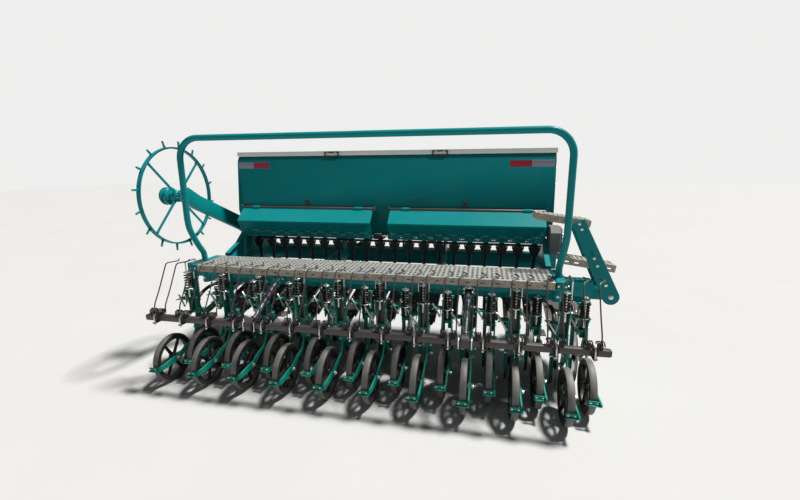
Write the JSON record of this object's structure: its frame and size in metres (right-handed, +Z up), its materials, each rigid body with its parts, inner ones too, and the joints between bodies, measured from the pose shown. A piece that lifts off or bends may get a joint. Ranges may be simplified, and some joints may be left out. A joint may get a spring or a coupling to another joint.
{
  "type": "seed drill",
  "caption": "Mounted seed drill with a wide lidded hopper, staggered press-wheel rows, disc openers, tine harrow, platform with guard rail, raised spiked land wheel.",
  "frame": {"origin": "on the ground under the middle of the machine's box", "axes": "+Y the way it travels, +X its right side, +Z up"},
  "size_m": [3.2779, 1.703, 1.7279],
  "materials": {
    "green_paint": "semi-gloss teal-green enamel",
    "white_paint": "semi-gloss off-white enamel",
    "galvanised_steel": "dull galvanised",
    "black_plastic": "matt moulded",
    "grey_casting": "dark grey casting",
    "black_hose": "satin corrugated hose",
    "grey_steel": "satin dark grey",
    "tyre_rubber": "dusty smooth rubber",
    "disc_steel": "bright worn steel"
  },
  "bodies": {
    "chassis": {"main_frame": "green_paint", "headstock": "green_paint", "rear_coulter_row": "green_paint", "front_coulter_row": "green_paint", "hopper": "green_paint", "meter_housing": "black_plastic", "drive_gearbox": "grey_casting", "seed_hoses": "black_hose", "platform": "galvanised_steel", "guard_rail": "green_paint"},
    "hopper_lid": {"hopper_lid": "white_paint"},
    "left_meter_guard": {"left_meter_guard": "green_paint"},
    "right_meter_guard": {"right_meter_guard": "green_paint"},
    "harrow": {"harrow": "grey_steel"},
    "boarding_ladder": {"boarding_ladder": "green_paint"},
    "land_wheel_arm": {"land_wheel_arm": "green_paint"},
    "land_wheel": {"land_wheel": "green_paint"},
    "left_stand": {"left_stand": "grey_steel"},
    "right_stand": {"right_stand": "grey_steel"},
    "press_wheel_rear_01": {"press_wheel_rear_01": "tyre_rubber"},
    "press_wheel_front_01": {"press_wheel_front_01": "tyre_rubber"},
    "press_wheel_rear_02": {"press_wheel_rear_02": "tyre_rubber"},
    "press_wheel_front_02": {"press_wheel_front_02": "tyre_rubber"},
    "press_wheel_rear_03": {"press_wheel_rear_03": "tyre_rubber"},
    "press_wheel_front_03": {"press_wheel_front_03": "tyre_rubber"},
    "press_wheel_rear_04": {"press_wheel_rear_04": "tyre_rubber"},
    "press_wheel_front_04": {"press_wheel_front_04": "tyre_rubber"},
    "press_wheel_rear_05": {"press_wheel_rear_05": "tyre_rubber"},
    "press_wheel_front_05": {"press_wheel_front_05": "tyre_rubber"},
    "press_wheel_rear_06": {"press_wheel_rear_06": "tyre_rubber"},
    "press_wheel_front_06": {"press_wheel_front_06": "tyre_rubber"},
    "press_wheel_rear_07": {"press_wheel_rear_07": "tyre_rubber"},
    "press_wheel_front_07": {"press_wheel_front_07": "tyre_rubber"},
    "press_wheel_rear_08": {"press_wheel_rear_08": "tyre_rubber"},
    "press_wheel_front_08": {"press_wheel_front_08": "tyre_rubber"},
    "press_wheel_rear_09": {"press_wheel_rear_09": "tyre_rubber"},
    "press_wheel_front_09": {"press_wheel_front_09": "tyre_rubber"},
    "press_wheel_rear_10": {"press_wheel_rear_10": "tyre_rubber"},
    "press_wheel_front_10": {"press_wheel_front_10": "tyre_rubber"},
    "opener_disc_rear_01": {"opener_disc_rear_01": "disc_steel"},
    "opener_disc_front_01": {"opener_disc_front_01": "disc_steel"},
    "opener_disc_rear_02": {"opener_disc_rear_02": "disc_steel"},
    "opener_disc_front_02": {"opener_disc_front_02": "disc_steel"},
    "opener_disc_rear_03": {"opener_disc_rear_03": "disc_steel"},
    "opener_disc_front_03": {"opener_disc_front_03": "disc_steel"},
    "opener_disc_rear_04": {"opener_disc_rear_04": "disc_steel"},
    "opener_disc_front_04": {"opener_disc_front_04": "disc_steel"},
    "opener_disc_rear_05": {"opener_disc_rear_05": "disc_steel"},
    "opener_disc_front_05": {"opener_disc_front_05": "disc_steel"},
    "opener_disc_rear_06": {"opener_disc_rear_06": "disc_steel"},
    "opener_disc_front_06": {"opener_disc_front_06": "disc_steel"},
    "opener_disc_rear_07": {"opener_disc_rear_07": "disc_steel"},
    "opener_disc_front_07": {"opener_disc_front_07": "disc_steel"},
    "opener_disc_rear_08": {"opener_disc_rear_08": "disc_steel"},
    "opener_disc_front_08": {"opener_disc_front_08": "disc_steel"},
    "opener_disc_rear_09": {"opener_disc_rear_09": "disc_steel"},
    "opener_disc_front_09": {"opener_disc_front_09": "disc_steel"},
    "opener_disc_rear_10": {"opener_disc_rear_10": "disc_steel"},
    "opener_disc_front_10": {"opener_disc_front_10": "disc_steel"}
  },
  "joints": [
    {"name": "land_arm_swing", "type": "hinge", "parent": "chassis", "child": "land_wheel_arm", "pos_m": [-1.26, 0.2815, 0.97], "axis": [1, 0, 0], "range_deg": [0, 100]},
    {"name": "land_wheel_spin", "type": "hinge", "parent": "land_wheel_arm", "child": "land_wheel", "pos_m": [-1.54, -0.2335, 1.3], "axis": [1, 0, 0], "continuous": true},
    {"name": "lid_hinge", "type": "hinge", "parent": "chassis", "child": "hopper_lid", "pos_m": [0.04, 0.7415, 1.6], "axis": [-1, 0, 0], "range_deg": [0, 100]},
    {"name": "left_guard_hinge", "type": "hinge", "parent": "chassis", "child": "left_meter_guard", "pos_m": [-0.591, 0.0235, 1.194], "axis": [-1, 0, 0], "range_deg": [0, 80]},
    {"name": "right_guard_hinge", "type": "hinge", "parent": "chassis", "child": "right_meter_guard", "pos_m": [0.661, 0.0235, 1.194], "axis": [-1, 0, 0], "range_deg": [0, 80]},
    {"name": "harrow_fold", "type": "hinge", "parent": "chassis", "child": "harrow", "pos_m": [0.04, -0.7945, 0.534], "axis": [1, 0, 0], "range_deg": [0, 160]},
    {"name": "ladder_fold", "type": "hinge", "parent": "chassis", "child": "boarding_ladder", "pos_m": [1.59, -0.3685, 0.71], "axis": [0, 1, 0], "range_deg": [0, 180]},
    {"name": "left_stand_fold", "type": "hinge", "parent": "chassis", "child": "left_stand", "pos_m": [-1.21, 0.6175, 0.7], "axis": [0, -1, 0], "range_deg": [0, 90]},
    {"name": "right_stand_fold", "type": "hinge", "parent": "chassis", "child": "right_stand", "pos_m": [1.29, 0.6175, 0.7], "axis": [0, 1, 0], "range_deg": [0, 90]},
    {"name": "press_wheel_rear_01_spin", "type": "hinge", "parent": "chassis", "child": "press_wheel_rear_01", "pos_m": [-1.385, -0.6535, 0.17], "axis": [1, 0, 0], "continuous": true},
    {"name": "press_wheel_front_01_spin", "type": "hinge", "parent": "chassis", "child": "press_wheel_front_01", "pos_m": [-1.235, -0.5035, 0.17], "axis": [1, 0, 0], "continuous": true},
    {"name": "press_wheel_rear_02_spin", "type": "hinge", "parent": "chassis", "child": "press_wheel_rear_02", "pos_m": [-1.085, -0.6535, 0.17], "axis": [1, 0, 0], "continuous": true},
    {"name": "press_wheel_front_02_spin", "type": "hinge", "parent": "chassis", "child": "press_wheel_front_02", "pos_m": [-0.935, -0.5035, 0.17], "axis": [1, 0, 0], "continuous": true},
    {"name": "press_wheel_rear_03_spin", "type": "hinge", "parent": "chassis", "child": "press_wheel_rear_03", "pos_m": [-0.785, -0.6535, 0.17], "axis": [1, 0, 0], "continuous": true},
    {"name": "press_wheel_front_03_spin", "type": "hinge", "parent": "chassis", "child": "press_wheel_front_03", "pos_m": [-0.635, -0.5035, 0.17], "axis": [1, 0, 0], "continuous": true},
    {"name": "press_wheel_rear_04_spin", "type": "hinge", "parent": "chassis", "child": "press_wheel_rear_04", "pos_m": [-0.485, -0.6535, 0.17], "axis": [1, 0, 0], "continuous": true},
    {"name": "press_wheel_front_04_spin", "type": "hinge", "parent": "chassis", "child": "press_wheel_front_04", "pos_m": [-0.335, -0.5035, 0.17], "axis": [1, 0, 0], "continuous": true},
    {"name": "press_wheel_rear_05_spin", "type": "hinge", "parent": "chassis", "child": "press_wheel_rear_05", "pos_m": [-0.185, -0.6535, 0.17], "axis": [1, 0, 0], "continuous": true},
    {"name": "press_wheel_front_05_spin", "type": "hinge", "parent": "chassis", "child": "press_wheel_front_05", "pos_m": [-0.035, -0.5035, 0.17], "axis": [1, 0, 0], "continuous": true},
    {"name": "press_wheel_rear_06_spin", "type": "hinge", "parent": "chassis", "child": "press_wheel_rear_06", "pos_m": [0.115, -0.6535, 0.17], "axis": [1, 0, 0], "continuous": true},
    {"name": "press_wheel_front_06_spin", "type": "hinge", "parent": "chassis", "child": "press_wheel_front_06", "pos_m": [0.265, -0.5035, 0.17], "axis": [1, 0, 0], "continuous": true},
    {"name": "press_wheel_rear_07_spin", "type": "hinge", "parent": "chassis", "child": "press_wheel_rear_07", "pos_m": [0.415, -0.6535, 0.17], "axis": [1, 0, 0], "continuous": true},
    {"name": "press_wheel_front_07_spin", "type": "hinge", "parent": "chassis", "child": "press_wheel_front_07", "pos_m": [0.565, -0.5035, 0.17], "axis": [1, 0, 0], "continuous": true},
    {"name": "press_wheel_rear_08_spin", "type": "hinge", "parent": "chassis", "child": "press_wheel_rear_08", "pos_m": [0.715, -0.6535, 0.17], "axis": [1, 0, 0], "continuous": true},
    {"name": "press_wheel_front_08_spin", "type": "hinge", "parent": "chassis", "child": "press_wheel_front_08", "pos_m": [0.865, -0.5035, 0.17], "axis": [1, 0, 0], "continuous": true},
    {"name": "press_wheel_rear_09_spin", "type": "hinge", "parent": "chassis", "child": "press_wheel_rear_09", "pos_m": [1.015, -0.6535, 0.17], "axis": [1, 0, 0], "continuous": true},
    {"name": "press_wheel_front_09_spin", "type": "hinge", "parent": "chassis", "child": "press_wheel_front_09", "pos_m": [1.165, -0.5035, 0.17], "axis": [1, 0, 0], "continuous": true},
    {"name": "press_wheel_rear_10_spin", "type": "hinge", "parent": "chassis", "child": "press_wheel_rear_10", "pos_m": [1.315, -0.6535, 0.17], "axis": [1, 0, 0], "continuous": true},
    {"name": "press_wheel_front_10_spin", "type": "hinge", "parent": "chassis", "child": "press_wheel_front_10", "pos_m": [1.465, -0.5035, 0.17], "axis": [1, 0, 0], "continuous": true},
    {"name": "opener_disc_rear_01_spin", "type": "hinge", "parent": "chassis", "child": "opener_disc_rear_01", "pos_m": [-1.385, -0.2785, 0.183], "axis": [0.9962, 0.0872, 0], "continuous": true},
    {"name": "opener_disc_front_01_spin", "type": "hinge", "parent": "chassis", "child": "opener_disc_front_01", "pos_m": [-1.235, -0.1285, 0.183], "axis": [0.9962, 0.0872, 0], "continuous": true},
    {"name": "opener_disc_rear_02_spin", "type": "hinge", "parent": "chassis", "child": "opener_disc_rear_02", "pos_m": [-1.085, -0.2785, 0.183], "axis": [0.9962, -0.0872, 0], "continuous": true},
    {"name": "opener_disc_front_02_spin", "type": "hinge", "parent": "chassis", "child": "opener_disc_front_02", "pos_m": [-0.935, -0.1285, 0.183], "axis": [0.9962, -0.0872, 0], "continuous": true},
    {"name": "opener_disc_rear_03_spin", "type": "hinge", "parent": "chassis", "child": "opener_disc_rear_03", "pos_m": [-0.785, -0.2785, 0.183], "axis": [0.9962, 0.0872, 0], "continuous": true},
    {"name": "opener_disc_front_03_spin", "type": "hinge", "parent": "chassis", "child": "opener_disc_front_03", "pos_m": [-0.635, -0.1285, 0.183], "axis": [0.9962, 0.0872, 0], "continuous": true},
    {"name": "opener_disc_rear_04_spin", "type": "hinge", "parent": "chassis", "child": "opener_disc_rear_04", "pos_m": [-0.485, -0.2785, 0.183], "axis": [0.9962, -0.0872, 0], "continuous": true},
    {"name": "opener_disc_front_04_spin", "type": "hinge", "parent": "chassis", "child": "opener_disc_front_04", "pos_m": [-0.335, -0.1285, 0.183], "axis": [0.9962, -0.0872, 0], "continuous": true},
    {"name": "opener_disc_rear_05_spin", "type": "hinge", "parent": "chassis", "child": "opener_disc_rear_05", "pos_m": [-0.185, -0.2785, 0.183], "axis": [0.9962, 0.0872, 0], "continuous": true},
    {"name": "opener_disc_front_05_spin", "type": "hinge", "parent": "chassis", "child": "opener_disc_front_05", "pos_m": [-0.035, -0.1285, 0.183], "axis": [0.9962, 0.0872, 0], "continuous": true},
    {"name": "opener_disc_rear_06_spin", "type": "hinge", "parent": "chassis", "child": "opener_disc_rear_06", "pos_m": [0.115, -0.2785, 0.183], "axis": [0.9962, -0.0872, 0], "continuous": true},
    {"name": "opener_disc_front_06_spin", "type": "hinge", "parent": "chassis", "child": "opener_disc_front_06", "pos_m": [0.265, -0.1285, 0.183], "axis": [0.9962, -0.0872, 0], "continuous": true},
    {"name": "opener_disc_rear_07_spin", "type": "hinge", "parent": "chassis", "child": "opener_disc_rear_07", "pos_m": [0.415, -0.2785, 0.183], "axis": [0.9962, 0.0872, 0], "continuous": true},
    {"name": "opener_disc_front_07_spin", "type": "hinge", "parent": "chassis", "child": "opener_disc_front_07", "pos_m": [0.565, -0.1285, 0.183], "axis": [0.9962, 0.0872, 0], "continuous": true},
    {"name": "opener_disc_rear_08_spin", "type": "hinge", "parent": "chassis", "child": "opener_disc_rear_08", "pos_m": [0.715, -0.2785, 0.183], "axis": [0.9962, -0.0872, 0], "continuous": true},
    {"name": "opener_disc_front_08_spin", "type": "hinge", "parent": "chassis", "child": "opener_disc_front_08", "pos_m": [0.865, -0.1285, 0.183], "axis": [0.9962, -0.0872, 0], "continuous": true},
    {"name": "opener_disc_rear_09_spin", "type": "hinge", "parent": "chassis", "child": "opener_disc_rear_09", "pos_m": [1.015, -0.2785, 0.183], "axis": [0.9962, 0.0872, 0], "continuous": true},
    {"name": "opener_disc_front_09_spin", "type": "hinge", "parent": "chassis", "child": "opener_disc_front_09", "pos_m": [1.165, -0.1285, 0.183], "axis": [0.9962, 0.0872, 0], "continuous": true},
    {"name": "opener_disc_rear_10_spin", "type": "hinge", "parent": "chassis", "child": "opener_disc_rear_10", "pos_m": [1.315, -0.2785, 0.183], "axis": [0.9962, -0.0872, 0], "continuous": true},
    {"name": "opener_disc_front_10_spin", "type": "hinge", "parent": "chassis", "child": "opener_disc_front_10", "pos_m": [1.465, -0.1285, 0.183], "axis": [0.9962, -0.0872, 0], "continuous": true}
  ]
}
